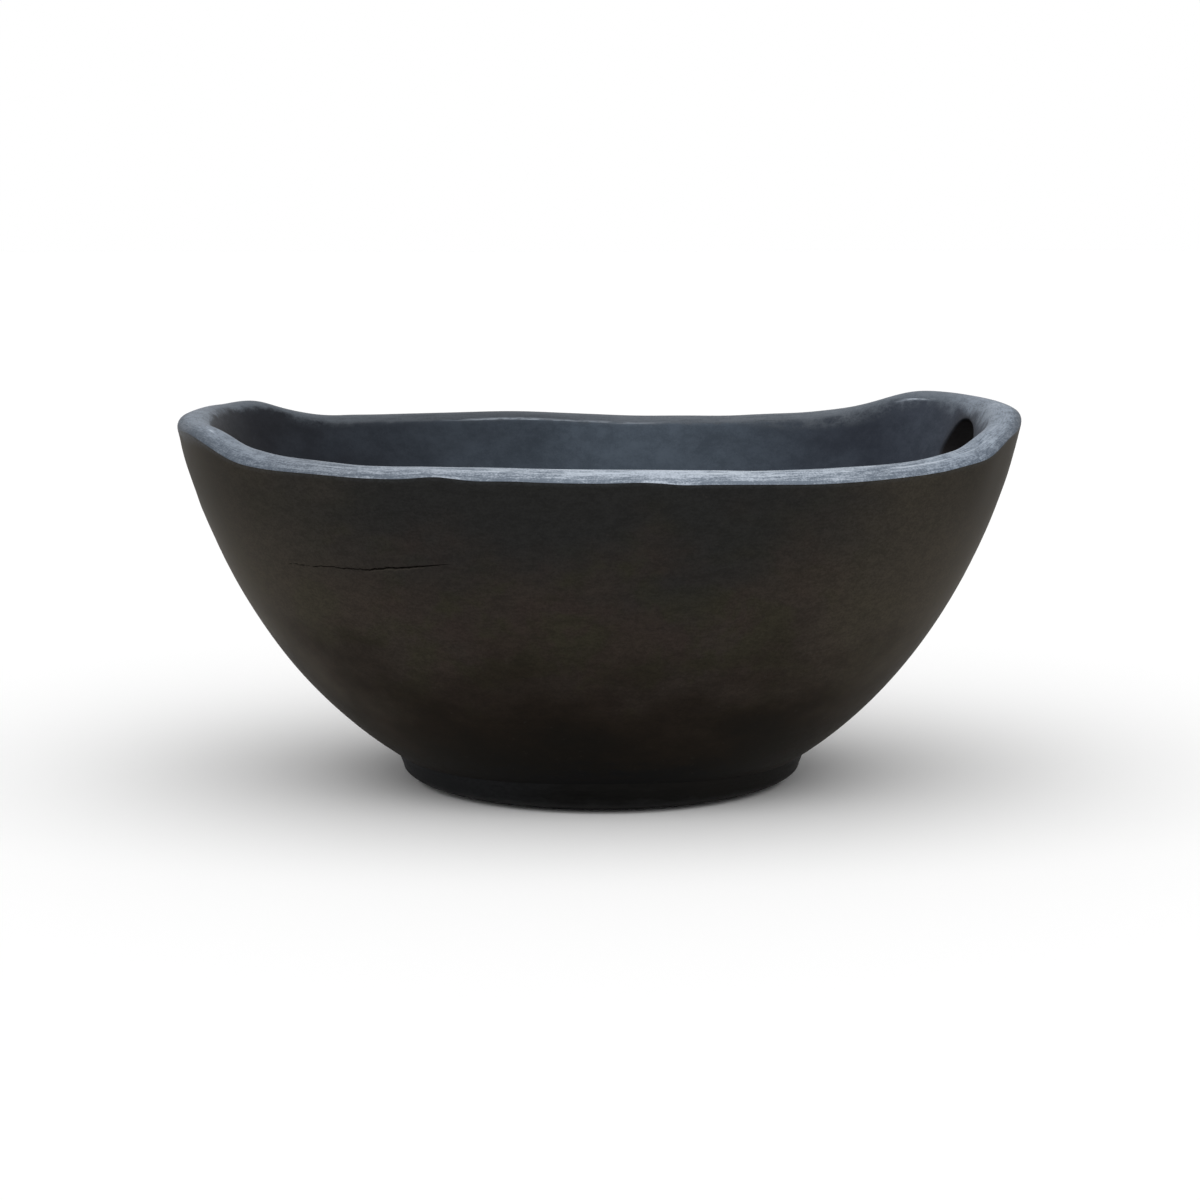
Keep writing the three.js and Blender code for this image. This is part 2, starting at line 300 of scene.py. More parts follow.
# Outer wall, from the foot to the arris; the rows beside the crack follow its line
wall_width = mix(SIDE_WALL, END_WALL, np.cos(theta) ** 2)
at_left = bump(degrees, 187.0, 15.0)[None, :]
at_right = bump((degrees + 180.0) % 360, 174.0, 13.0)[None, :]
arris_size = ARRIS + (LEFT_ARRIS - ARRIS) * at_left + (RIGHT_ARRIS - ARRIS) * at_right
top = rim_height(theta) - arris_size
full = RIM_HEIGHT - LEFT_SIDE_DROP - ARRIS - BASE_HEIGHT
crack_row = 118.0
beside = np.array([4.5, 3.0, 2.0, 1.3, 0.85, 0.55, 0.33, 0.15])
wall_rows = np.concatenate([np.linspace(0.0, crack_row - 6.5, 52), crack_row - beside, [crack_row],
                            crack_row + beside[::-1], np.linspace(crack_row + 6.5, full, 21)])
heights = BASE_HEIGHT + wall_rows[:, None] * (top - BASE_HEIGHT) / full
own_line = BASE_HEIGHT + crack_row * (top - BASE_HEIGHT) / full
in_crack = smooth(degrees, 209.0, 213.5) * smooth(degrees, 247.0, 242.5)
bend = (crack_line(degrees)[None, :] - own_line) * in_crack[None, :]
near_crack = np.clip((wall_rows - crack_row) / CRACK_REACH, -1, 1)
heights = heights + bend * np.cos(near_crack * math.pi / 2)[:, None] ** 2
outer = outer_point(np.broadcast_to(theta, heights.shape), heights)
across = np.abs(wall_rows - crack_row)[:, None] / np.maximum(crack_width(degrees)[None, :], 1e-4)
groove = np.clip(1.0 - across, 0.0, 1.0) * smooth(crack_width(degrees), 0.02, 0.2)[None, :]
inward = np.stack([np.cos(theta), np.sin(theta), 0 * theta], -1)
outer = outer - inward * (groove * CRACK_DEPTH)[..., None]

# Rim, from its outer arris over the crown to the soft inner edge
shares = mix(arris_size / wall_width, 0.90, np.linspace(0.0, 1.0, 22)[:, None])
rim = rim_point(np.broadcast_to(theta, shares.shape), shares)
arris = rim_point(theta, np.zeros_like(theta))
edge_out = eased(outer[-1:], arris, rim[:1], 6)
upper_shares = np.linspace(1 - INNER_ARRIS_SHARE, 0.66, 39)
inner_shares = np.concatenate([upper_shares, np.linspace(0.66, 0.0, 52)[1:]])
inner_size = (inner_shares.size, columns)
inner = inner_point(np.broadcast_to(theta, inner_size), np.broadcast_to(inner_shares[:, None], inner_size))
edge_in = eased(rim[-1:], rim_point(theta, np.ones_like(theta)), inner[:1], 6)
floor_shares = np.linspace(1.0, 0.0, 16)[1:-1][:, None, None]
floor_rows = mix(np.array([SHIFT, 0.0, FLOOR_HEIGHT]), inner[-1:], floor_shares)

parts = [outer, edge_out, rim, edge_in, inner, floor_rows]
rows = [part.shape[0] for part in parts]
first = np.concatenate([[0], np.cumsum(rows)])
grid = np.concatenate(parts, 0)
row_count = grid.shape[0]

# What each row is: how far onto the rim, into the hollow and along the two edges, which carry wear and, at
# the outer one, painted light and painted shade
on_rim = np.zeros((row_count, columns))
in_hollow = np.zeros((row_count, columns))
outer_edge = np.zeros((row_count, columns))
inner_edge = np.zeros((row_count, columns))
on_rim[first[1]:first[2]] = np.linspace(0.3, 1.0, rows[1])[:, None]
on_rim[first[2]:] = 1.0
edge_way = shares[:1] * np.linspace(0.0, 1.0, rows[1])[:, None]
inward_way = np.concatenate([np.linspace(0.9, 1.05, rows[3]), np.linspace(1.06, 3.0, row_count - first[4])])
inward_way = np.broadcast_to(inward_way[:, None], (inward_way.size, columns))
rim_way = np.concatenate([np.zeros((first[1], columns)), edge_way, shares, inward_way])
from_hollow = rim_way - hollow_start(degrees)[None, :]
blur = hollow_blur(degrees)[None, :]
in_hollow[first[2]:] = smooth(from_hollow / blur, -1.0, 1.0)[first[2]:]
across_rim = rim_way * wall_width
# The left end, where the pale band under the outer arris, partly wear and partly painted light, is widest
worn_lit_edge = bump(degrees, 192.0, 10.0)[None, :]
outer_edge[:first[1]] = mix(0.3, 0.8, worn_lit_edge) * bump(top - heights, -ARRIS, mix(0.9, 5.0, worn_lit_edge))
ends = np.maximum(at_left, at_right)
outer_edge[first[1]:first[3]] = ends * smooth(across_rim[first[1]:first[3]], 5.5, 0.0)
inner_edge[:] = bump(from_hollow, -0.03, 0.020) * worn_line(degrees)[None, :]
for place_degrees, share, long, wide, strength in NICKS:
    inner_edge += strength * bump(degrees, place_degrees, long)[None, :] * bump(rim_way, share, wide)
crack = np.zeros((row_count, columns))
crack[:first[1]] = groove
lip = np.zeros((row_count, columns))
below = (crack_row - wall_rows)[:, None] - crack_width(degrees)[None, :]
lip[:first[1]] = bump(below, 0.25, 0.35) * smooth(crack_width(degrees), 0.3, 0.6)[None, :]
in_slot = np.zeros((row_count, columns))

vertices = list(grid.reshape(-1, 3))
painted_light = np.broadcast_to(rim_painted_light(degrees)[None, :], grid.shape[:2])
fields = {"on_rim": on_rim, "in_hollow": in_hollow, "outer_edge": outer_edge, "inner_edge": inner_edge,
          "crack": crack, "lip": lip, "in_slot": in_slot, "painted_light": painted_light, "across": across_rim,
          "rim_share": rim_way}
masks = {name: list(field.reshape(-1)) for name, field in fields.items()}
number = np.arange(row_count * columns).reshape(row_count, columns)


# Adds points beside the grid, with their mask values, and gives their numbers
def add(points, values):
    start = len(vertices)
    vertices.extend(points)
    for name, mask in masks.items():
        mask.extend(np.broadcast_to(values.get(name, 0.0), len(points)))
    return np.arange(start, start + len(points))


# Mask values of a ring in a slot: whether it lies on the inner side, how deep in the slot it lies and how
# far into the hollow; it counts as well past the rim
def slot_values(inside, deep, hollow=1.0):
    return {"on_rim": inside, "in_hollow": inside * hollow, "in_slot": deep, "painted_light": 0.5, "across": 60.0,
            "rim_share": 2.0 * inside}


# The finger slot through the end wall at one plan angle: the block of cells that it takes out of the outer
# wall and of the hollow, and the rings of cells that lead from one block round the worn lips to the other
def slot_rings(angle):
    edge = rim_point(np.array(angle), np.array(1.0))
    middle_height = edge[2] - SLOT_BELOW_EDGE - SLOT_HALF_HEIGHT
    mouth_share = (middle_height - FLOOR_HEIGHT) / (edge[2] - FLOOR_HEIGHT)
    mouth = inner_point(np.array(angle), np.array(mouth_share))
    centre = np.array([mouth[0], 0.0, middle_height])
    turn = Matrix.Rotation(angle, 3, "Z") @ Matrix.Rotation(SLOT_TILT, 3, "Y")
    along = np.array(turn @ Vector((1, 0, 0)))
    flat = np.array(turn @ Vector((0, 1, 0)))
    steep = np.array(turn @ Vector((0, 0, 1)))
    longways = math.cos(SLOT_SLANT) * flat + math.sin(SLOT_SLANT) * steep
    upways = -math.sin(SLOT_SLANT) * flat + math.cos(SLOT_SLANT) * steep

    def place(p, q, w):
        return centre + np.outer(p, longways) + np.outer(q, upways) + np.outer(w, along)

    # How far along the slot a line through it meets the outer wall or the wall of the hollow
    def depth(p, q, outside):
        low, high = np.full_like(p, -70.0), np.full_like(p, 70.0)
        for step in range(44):
            w = (low + high) / 2
            beyond = outside(place(p, q, w)) > 0
            high = np.where(beyond, w, high)
            low = np.where(beyond, low, w)
        return (low + high) / 2

    middle_degrees = math.degrees(angle)
    left = int(np.searchsorted(degrees, middle_degrees - SLOT_BLOCK_ANGLE))
    right = int(np.searchsorted(degrees, middle_degrees + SLOT_BLOCK_ANGLE))
    outer_top, inner_top = first[1] - 1, first[4]
    outer_bottom, inner_bottom = outer_top - SLOT_BLOCK_ROWS, inner_top + SLOT_BLOCK_ROWS

    # Numbers of the grid's points round the block, from one of its corners
    def loop(bottom, upper):
        step = 1 if upper > bottom else -1
        up = np.arange(bottom, upper, step)
        return np.concatenate([number[bottom, left:right], number[up, right],
                               number[upper, right:left:-1], number[up[::-1] + step, left]])

    outer_loop, inner_loop = loop(outer_bottom, outer_top), loop(inner_bottom, inner_top)
    flat_grid = grid.reshape(-1, 3)
    p_out, q_out = (flat_grid[outer_loop] - centre) @ longways, (flat_grid[outer_loop] - centre) @ upways
    p_in, q_in = (flat_grid[inner_loop] - centre) @ longways, (flat_grid[inner_loop] - centre) @ upways
    way = np.arctan2((q_out + q_in) / SLOT_HALF_HEIGHT, (p_out + p_in) / SLOT_HALF_LENGTH)
    power = 2.0 / SLOT_SQUARENESS
    p_edge = SLOT_HALF_LENGTH * np.sign(np.cos(way)) * np.abs(np.cos(way)) ** power
    q_edge = SLOT_HALF_HEIGHT * np.sign(np.sin(way)) * np.abs(np.sin(way)) ** power
    sharpness = SLOT_SQUARENESS - 1
    p_side = np.sign(p_edge) * (np.abs(p_edge) / SLOT_HALF_LENGTH) ** sharpness / SLOT_HALF_LENGTH
    q_side = np.sign(q_edge) * (np.abs(q_edge) / SLOT_HALF_HEIGHT) ** sharpness / SLOT_HALF_HEIGHT
    size = np.hypot(p_side, q_side)
    p_side, q_side = p_side / size, q_side / size

    rings = [outer_loop]
    for share in (0.25, 0.5, 0.75):
        p = mix(p_out, p_edge + SLOT_ROUND_OUT * p_side, share)
        q = mix(q_out, q_edge + SLOT_ROUND_OUT * q_side, share)
        rings.append(add(place(p, q, depth(p, q, outside_outer)), slot_values(0, 0)))
    lips = np.linspace(0.0, math.pi / 2, 6)
    for turn_in in lips:
        away, deep = SLOT_ROUND_OUT * (1 - math.sin(turn_in)), SLOT_ROUND_OUT * (1 - math.cos(turn_in))
        p, q = p_edge + away * p_side, q_edge + away * q_side
        w = depth(p, q, outside_outer) - deep
        rings.append(add(place(p, q, w), slot_values(0, 0.6 * turn_in / math.pi)))
    w_start = w
    away_in = depth(p_edge, q_edge, outside_inner) + SLOT_ROUND_IN
    for share in np.linspace(0.0, 1.0, 9)[1:-1]:
        rings.append(add(place(p_edge, q_edge, mix(w_start, away_in, share)), slot_values(1, 1)))
    for turn_in in lips[::-1]:
        away, deep = SLOT_ROUND_IN * (1 - math.sin(turn_in)), SLOT_ROUND_IN * (1 - math.cos(turn_in))
        p, q = p_edge + away * p_side, q_edge + away * q_side
        w = depth(p, q, outside_inner) + deep
        rings.append(add(place(p, q, w), slot_values(1, mix(0.5, 1.0, turn_in / math.pi * 2))))
    # The rim's pale tone, painted light, runs down a little way above the slot of the right-hand end,
    # towards its back
    over = smooth(q_in, 12.0, 20.0) * smooth(p_in, -40.0, 0.0) * max(math.cos(angle), 0.0)
    for share in (0.75, 0.5, 0.25):
        p = mix(p_in, p_edge + SLOT_ROUND_IN * p_side, share)
        q = mix(q_in, q_edge + SLOT_ROUND_IN * q_side, share)
        hollow = 1.0 - 0.75 * over * (1.0 - share)
        w = depth(p, q, outside_inner)
        rings.append(add(place(p, q, w), slot_values(1, 0.55 * share ** 2, hollow)))
    rings.append(inner_loop)
    return (left, right, outer_bottom, outer_top, inner_top, inner_bottom), rings


faces = []
taken = np.zeros((row_count, columns), bool)
for slot_angle in (0.0, math.pi):
    block, rings = slot_rings(slot_angle)
    left, right, outer_bottom, outer_top, inner_top, inner_bottom = block
    taken[outer_bottom:outer_top, left:right] = True
    taken[inner_top:inner_bottom, left:right] = True
    for ring, following in zip(rings[:-1], rings[1:]):
        onward = np.roll(ring, -1)
        following_onward = np.roll(following, -1)
        faces.append(np.stack([ring, onward, following_onward, following], -1))
after = np.roll(number, -1, axis=1)
quads = np.stack([number[:-1], after[:-1], after[1:], number[1:]], -1)
faces.insert(0, quads[~taken[:-1]].reshape(-1, 4))
faces = np.concatenate(faces, 0)
under = add([np.array([SHIFT, 0.0, BASE_HEIGHT])], slot_values(0, 0))[0]
hub = add([np.array([SHIFT, 0.0, FLOOR_HEIGHT])], slot_values(1, 0))[0]
caps = [(int(under), int(b), int(a)) for a, b in zip(number[0], after[0])]
caps += [(int(hub), int(a), int(b)) for a, b in zip(number[-1], after[-1])]

points = np.array(vertices)
used = np.zeros(len(points), bool)
used[faces.reshape(-1)] = True
used[[under, hub]] = True
renumber = np.cumsum(used) - 1
points = points[used]
masks = {name: np.array(mask)[used] for name, mask in masks.items()}
faces = [tuple(f) for f in renumber[faces].tolist()]
faces += [tuple(int(renumber[v]) for v in cap) for cap in caps]

# Unevenness of the hand-carved rim: plan angle, rise of its outer edge, rise of its crown, width in degrees
RIM_WAVES = [
    (28.0, 1.2, 1.8, 5.0), (38.0, -1.0, -1.0, 5.0), (52.5, 1.6, 1.6, 6.0), (80.0, -0.6, -0.6, 9.0),
    (108.0, 1.0, 1.0, 11.0), (140.0, 0.5, 0.5, 4.0), (156.0, 0.6, 1.2, 3.6), (162.0, -0.6, -0.8, 4.0),
    (183.0, 0.6, 1.4, 8.0), (189.0, 0.8, 0.0, 6.0), (198.5, 1.4, -0.1, 5.0), (205.0, 0.5, 0.0, 3.5),
    (206.0, 0.0, -1.4, 3.8), (209.0, -0.7, 0.0, 3.5), (216.5, 1.1, 1.2, 4.0), (222.0, 0.9, 0.4, 4.5),
    (226.0, 0.2, -0.5, 4.0), (232.0, 0.2, -0.5, 5.0), (241.0, 1.9, -0.2, 4.3), (253.0, 0.45, 0.0, 5.0),
    (262.0, 0.0, -0.4, 12.0), (277.0, 0.8, 0.0, 5.5), (284.0, -0.35, 0.0, 3.0), (299.0, 0.0, -0.35, 5.0),
    (306.0, -0.5, 0.0, 6.0), (314.0, 0.0, 0.3, 4.0), (321.0, 0.8, 0.7, 5.0), (335.0, -1.7, -1.1, 4.0),
    (341.5, 1.6, 0.4, 4.0), (350.0, 1.4, 0.0, 6.0), (358.0, 0.4, 0.6, 9.0),
]
around = np.degrees(np.arctan2(points[:, 1], points[:, 0])) % 360
near_top = smooth(points[:, 2], 135.0, 176.0)
to_edge = np.clip(1.0 - masks["rim_share"] / CROWN_SHARE, 0.0, 1.0) ** 2
for place_degrees, edge_rise, crown_rise, width in RIM_WAVES:
    apart = (around - place_degrees + 180.0) % 360 - 180.0
    points[:, 2] += mix(crown_rise, edge_rise, to_edge) * near_top * bump(apart, 0.0, width)
# The left end stands a little steeper under the rim, and the outer edges of both ends are rubbed round
steeper = 0.7 * smooth(points[:, 2], 172.0, 186.0) - 0.8 * bump(points[:, 2], 163.0, 17.0)
points[:, 0] += steeper * bump(around, 180.0, 24.0)
from_right = (around + 180.0) % 360
points[:, 0] += 0.6 * bump(points[:, 2], 164.0, 20.0) * bump(from_right, 180.0, 24.0)
at_edge = bump(masks["rim_share"], 0.0, 0.12) * smooth(points[:, 2], 176.0, 187.0)
points[:, 0] += at_edge * (0.3 * bump(around, 182.0, 13.0) - 0.1 * bump(from_right, 180.0, 13.0))
# A slight swell all over, which dies out towards the foot
free = smooth(points[:, 2], BASE_HEIGHT, 40.0)
swell = 0.22 * wander(points, 70.0, 3) + 0.12 * wander(points, 32.0, 8) * masks["in_hollow"]
outward = points * np.array([1.0, 1.0, 0.0])
outward /= np.maximum(np.linalg.norm(outward, axis=1), 1.0)[:, None]
points += outward * (swell * free)[:, None]


def solid(name, points, faces, node):
    mesh = bpy.data.meshes.new(name)
    mesh.from_pydata((np.asarray(points) * MM).tolist(), [], faces)
    mesh.update()
    mesh.polygons.foreach_set("use_smooth", np.ones(len(mesh.polygons), bool))
    thing = bpy.data.objects.new(name, mesh)
    bpy.context.scene.collection.objects.link(thing)
    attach(thing, "root")
    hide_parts(node)
    return thing


bowl = solid("bowl_shell", points, faces, "bowl_body")
for name, mask in masks.items():
    attribute = bowl.data.attributes.new(name, "FLOAT", "POINT")
    attribute.data.foreach_set("value", mask.astype(np.float32))

# Place along the rim on a circle, and across it, so that the rubbed streaks can follow the rim
FLOW_RADIUS = 190.0
flow = bowl.data.attributes.new("flow", "FLOAT_VECTOR", "POINT")
plan = np.hypot(points[:, 0] / HALF_LENGTH, points[:, 1] / HALF_WIDTH)
plan = np.maximum(plan, 1e-6)
circle_x = points[:, 0] / HALF_LENGTH / plan * FLOW_RADIUS
circle_y = points[:, 1] / HALF_WIDTH / plan * FLOW_RADIUS
circle = np.stack([circle_x, circle_y, masks["across"]], -1)
flow.data.foreach_set("vector", circle.astype(np.float32).reshape(-1))
on_wood = np.array([masks["on_rim"][list(f)].mean() < 0.45 for f in faces])
bowl.data.polygons.foreach_set("material_index", np.where(on_wood, 0, 1).astype(np.int32))

# The foot, turned, with a broadly rounded lower edge and a crisp upper edge under the bowl
profile = [(r, FOOT_RECESS) for r in np.linspace(2.0, RECESS_RADIUS - 6.0, 16)]
for t in np.linspace(0.0, 1.0, 9):
    profile.append((RECESS_RADIUS - 5.0 + 5.0 * t, FOOT_RECESS * (1 - smooth(t, 0.0, 1.0))))
profile += [(r, 0.0) for r in np.linspace(RECESS_RADIUS + 1.5, STANDING_RADIUS - 1.0, 9)]
for t in np.linspace(0.0, math.pi / 2, 17):
    profile.append((STANDING_RADIUS + FOOT_EDGE_WIDTH * math.sin(t), FOOT_EDGE_HEIGHT * (1 - math.cos(t))))
foot_edge = STANDING_RADIUS + FOOT_EDGE_WIDTH
for t in np.linspace(0.2, 1.0, 5):
    profile.append((mix(foot_edge, FOOT_RADIUS, t), mix(FOOT_EDGE_HEIGHT, BASE_HEIGHT, t)))
profile += [(FOOT_RADIUS, z) for z in np.linspace(BASE_HEIGHT + 1.0, FOOT_TOP, 5)]
profile += [(r, FOOT_TOP) for r in np.linspace(105.0, 3.0, 20)]
profile = np.array(profile)
turns = np.radians(np.linspace(0.0, 360.0, 361)[:-1])
wobble = 1.0 + 0.0022 * np.sin(2 * turns + 0.7) + 0.0014 * np.sin(5 * turns + 2.1)
wide = profile[:, None, 0] * mix(1.0, wobble[None, :], smooth(profile[:, 0], 88.0, 100.0)[:, None])
ring_heights = np.broadcast_to(profile[:, None, 1], wide.shape)
ring_points = np.stack([SHIFT + wide * np.cos(turns), wide * np.sin(turns), ring_heights], -1)
ring_number = np.arange(wide.size).reshape(wide.shape)
ring_after = np.roll(ring_number, -1, axis=1)
ring_quads = np.stack([ring_number[:-1], ring_after[:-1], ring_after[1:], ring_number[1:]], -1)
ring_faces = ring_quads.reshape(-1, 4).tolist()
ring_hubs = [[SHIFT, 0, FOOT_RECESS], [SHIFT, 0, FOOT_TOP]]
ring_points = np.concatenate([ring_points.reshape(-1, 3), ring_hubs], 0)
ring_faces += [(wide.size, int(b), int(a)) for a, b in zip(ring_number[0], ring_after[0])]
ring_faces += [(wide.size + 1, int(a), int(b)) for a, b in zip(ring_number[-1], ring_after[-1])]
foot = solid("foot_ring", ring_points, ring_faces, "foot")


class Shader:
    """A material with its node tree, and short ways to add and join nodes."""

    def __init__(self, name):
        self.material = bpy.data.materials.new(name)
        self.material.use_nodes = True
        self.tree = self.material.node_tree
        self.tree.nodes.clear()
        self.output = self.tree.nodes.new("ShaderNodeOutputMaterial")
        self.place = self.node("ShaderNodeTexCoord").outputs["Object"]

    def node(self, kind, **settings):
        node = self.tree.nodes.new(kind)
        for key, value in settings.items():
            setattr(node, key, value)
        return node

    def give(self, socket, value):
        if isinstance(value, bpy.types.NodeSocket):
            self.tree.links.new(value, socket)
        else:
            socket.default_value = value

    def math(self, operation, a, b=0.0, clamp=False):
        node = self.node("ShaderNodeMath", operation=operation, use_clamp=clamp)
        self.give(node.inputs[0], a)
        self.give(node.inputs[1], b)
        return node.outputs[0]

    def stretched(self, scale, where=None):
        node = self.node("ShaderNodeMapping")
        self.give(node.inputs["Vector"], where or self.place)
        node.inputs["Scale"].default_value = scale
        return node.outputs[0]

    def noise(self, scale, detail=4.0, rough=0.55, warp=0.0, where=None):
        node = self.node("ShaderNodeTexNoise")
        self.give(node.inputs["Vector"], self.stretched(scale, where))
        node.inputs["Scale"].default_value = 1.0
        node.inputs["Detail"].default_value = detail
        node.inputs["Roughness"].default_value = rough
        node.inputs["Distortion"].default_value = warp
        return node.outputs["Fac"]

    def range(self, value, low, high, to_low=0.0, to_high=1.0):
        node = self.node("ShaderNodeMapRange", interpolation_type="SMOOTHSTEP")
        node.inputs["From Min"].default_value = low
        node.inputs["From Max"].default_value = high
        node.inputs["To Min"].default_value = to_low
        node.inputs["To Max"].default_value = to_high
        self.give(node.inputs["Value"], value)
        return node.outputs[0]

    def blend(self, share, a, b):
        node = self.node("ShaderNodeMix", data_type="RGBA")
        self.give(node.inputs["Factor"], share)
        for socket, value in ((node.inputs[6], a), (node.inputs[7], b)):
            if isinstance(value, tuple):
                value = (*value, 1.0)
            self.give(socket, value)
        return node.outputs[2]

    def axes(self):
        node = self.node("ShaderNodeSeparateXYZ")
        self.give(node.inputs[0], self.place)
        return node.outputs

    def mask(self, name):
        return self.node("ShaderNodeAttribute", attribute_name=name).outputs["Fac"]

    def bumped(self, height, strength, distance):
        node = self.node("ShaderNodeBump")
        node.inputs["Strength"].default_value = strength
        node.inputs["Distance"].default_value = distance
        self.give(node.inputs["Height"], height)
        return node.outputs[0]

    def surface(self, color, roughness, normal=None, specular=0.5, sheen=0.0):
        node = self.node("ShaderNodeBsdfPrincipled")
        self.give(node.inputs["Base Color"], color)
        self.give(node.inputs["Roughness"], roughness)
        node.inputs["Specular IOR Level"].default_value = specular
        node.inputs["Sheen Weight"].default_value = sheen
        node.inputs["Sheen Roughness"].default_value = 0.6
        node.inputs["Sheen Tint"].default_value = (1.0, 0.8, 0.55, 1.0)
        if normal is not None:
            self.give(node.inputs["Normal"], normal)
        self.tree.links.new(node.outputs[0], self.output.inputs["Surface"])
        return self.material


# Outside of the bowl: brown-black stain with olive and reddish clouds, cool grey under the rim in the middle
# of the front, painted warmer and paler towards the ends as painted light, and painted darker towards the
# foot as painted shade, nearly black above it
def stained_wood():
    s = Shader("stained_wood")
    fibres = s.noise((400.0, 800.0, 900.0), 4.0, 0.65)
    speckle = s.noise((1100.0, 1100.0, 1100.0), 2.0, 0.6)
    lines = s.noise((110.0, 240.0, 280.0), 4.0, 0.6, 0.3)
    grain = s.math("ADD", s.math("MULTIPLY", fibres, 0.40), s.math("MULTIPLY", speckle, 0.28))
    grain = s.math("ADD", grain, s.math("MULTIPLY", lines, 0.32))
    cloud = s.noise((14.0, 22.0, 26.0), 4.0, 0.55)
    olive = s.noise((26.0, 30.0, 38.0), 4.0, 0.6, 0.4)
    reddish = s.noise((31.0, 26.0, 33.0), 4.0, 0.6, 0.4)
    place = s.axes()
    astray = s.math("SUBTRACT", cloud, 0.5)
    level = s.math("ADD", place["Z"], s.math("MULTIPLY", astray, 0.10))
    aside = s.math("ABSOLUTE", s.math("ADD", place["X"], 0.014))
    sideways = s.math("ADD", aside, s.math("MULTIPLY", astray, 0.12))
    brown = s.blend(s.range(olive, 0.45, 0.58), (0.0277, 0.0220, 0.0183), (0.0258, 0.0231, 0.0148))
    brown = s.blend(s.range(reddish, 0.48, 0.62, 0.0, 0.75), brown, (0.0292, 0.0212, 0.0180))
    # Painted light: the outside is painted paler and warmer towards the two ends, where light from the sides
    # falls
    brown = s.blend(s.range(sideways, 0.06, 0.18, 0.0, 0.85), brown, (0.0450, 0.0378, 0.0277))
    cool = s.math("MULTIPLY", s.range(level, 0.108, 0.158), s.range(sideways, 0.19, 0.07, 0.25, 0.95))
    color = s.blend(cool, brown, (0.0159, 0.0164, 0.0164))
    # Painted shade: the lower wall is painted darker towards the foot, nearly black just above it, where
    # shade falls under the belly
    color = s.blend(s.range(level, 0.10, 0.045), color, (0.0102, 0.0068, 0.0044))
    color = s.blend(s.range(level, 0.062, 0.022, 0.0, 0.95), color, (0.0034, 0.0031, 0.0026))
    joint = s.math("ADD", place["Z"], s.math("MULTIPLY", s.math("SUBTRACT", lines, 0.5), 0.03))
    color = s.blend(s.range(joint, 0.031, 0.016, 0.0, 0.9), color, (0.0022, 0.0030, 0.0042))
    color = s.blend(s.range(grain, 0.38, 0.62, 0.38, 0.0), color, (0.0, 0.0, 0.0))
    pores = s.noise((320.0, 460.0, 520.0), 3.0, 0.5)
    color = s.blend(s.range(pores, 0.64, 0.80, 0.0, 0.2), color, (0.040, 0.037, 0.032))
    at_ends = s.range(s.math("ABSOLUTE", place["X"]), 0.15, 0.20)
    shaded = s.math("MULTIPLY", at_ends, s.range(place["Z"], 0.13, 0.17, 0.0, 0.3))
    color = s.blend(shaded, color, (0.0, 0.0, 0.0))
    # Pale band just below the outer arris: partly wear, partly painted light carried over the rounded edge
    worn_lit_edge = s.math("MULTIPLY", s.mask("outer_edge"), s.range(fibres, 0.35, 0.6, 0.4, 1.0))
    color = s.blend(worn_lit_edge, color, (0.085, 0.094, 0.106))
    # Pale lower lip of the crack: lighter torn wood, partly a painted highlight where the lip catches light
    color = s.blend(s.math("MULTIPLY", s.mask("lip"), 0.4), color, (0.055, 0.048, 0.038))
    # Painted shade: the crack is painted near black inside
    color = s.blend(s.mask("crack"), color, (0.0010, 0.0009, 0.0008))
    # Painted shade: the tunnel of the finger slot is painted dark
    color = s.blend(s.mask("in_slot"), color, (0.0065, 0.0061, 0.0061))
    rough = s.range(grain, 0.3, 0.7, 0.52, 0.64)
    return s.surface(color, rough, s.bumped(grain, 0.08, 0.0003), 0.05, 0.02)
